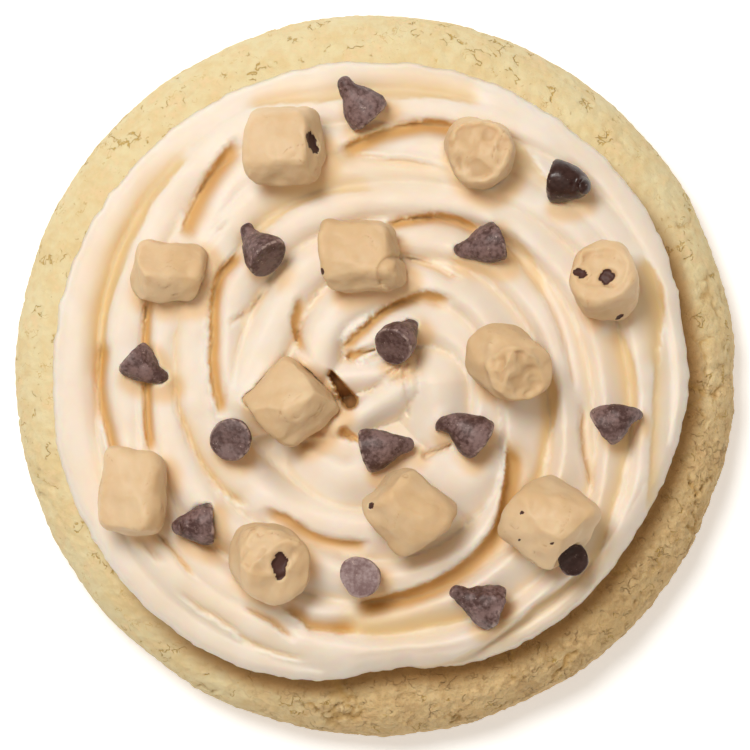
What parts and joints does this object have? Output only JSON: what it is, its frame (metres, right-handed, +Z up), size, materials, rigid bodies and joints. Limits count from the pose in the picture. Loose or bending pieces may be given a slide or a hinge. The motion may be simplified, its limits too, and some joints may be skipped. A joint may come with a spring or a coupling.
{
  "type": "cookie dough topped cookie",
  "caption": "Thick round cookie with a piped swirl of frosting, topped with pieces of cookie dough and chocolate chips; food to rest on a plate or tray.",
  "frame": {"origin": "middle of the cookie's underside", "axes": "+Z up through the toppings, +Y and +X across the round"},
  "size_m": [0.1114, 0.112, 0.0379],
  "materials": {
    "cookie": "dry baked crumb, pale golden, craggy and matte",
    "frosting": "smooth whipped frosting, cream coloured, soft satin sheen",
    "dough": "smooth raw dough, light tan, faint satin sheen",
    "chocolate": "dark chocolate with a greyish bloom, satin"
  },
  "bodies": {
    "root": {"cookie": "cookie", "frosting": "frosting", "dough_chunk_01": "dough", "dough_chunk_02": "dough", "dough_chunk_03": "dough", "dough_chunk_04": "dough", "dough_chunk_05": "dough", "dough_chunk_06": "dough", "dough_chunk_07": "dough", "dough_chunk_08": "dough", "dough_chunk_09": "dough", "dough_chunk_10": "dough", "dough_chunk_11": "dough", "chip_01": "chocolate", "chip_02": "chocolate", "chip_03": "chocolate", "chip_04": "chocolate", "chip_05": "chocolate", "chip_06": "chocolate", "chip_07": "chocolate", "chip_08": "chocolate", "chip_09": "chocolate", "chip_10": "chocolate", "chip_11": "chocolate", "chip_12": "chocolate", "chip_13": "chocolate", "chip_14": "chocolate"}
  },
  "joints": []
}
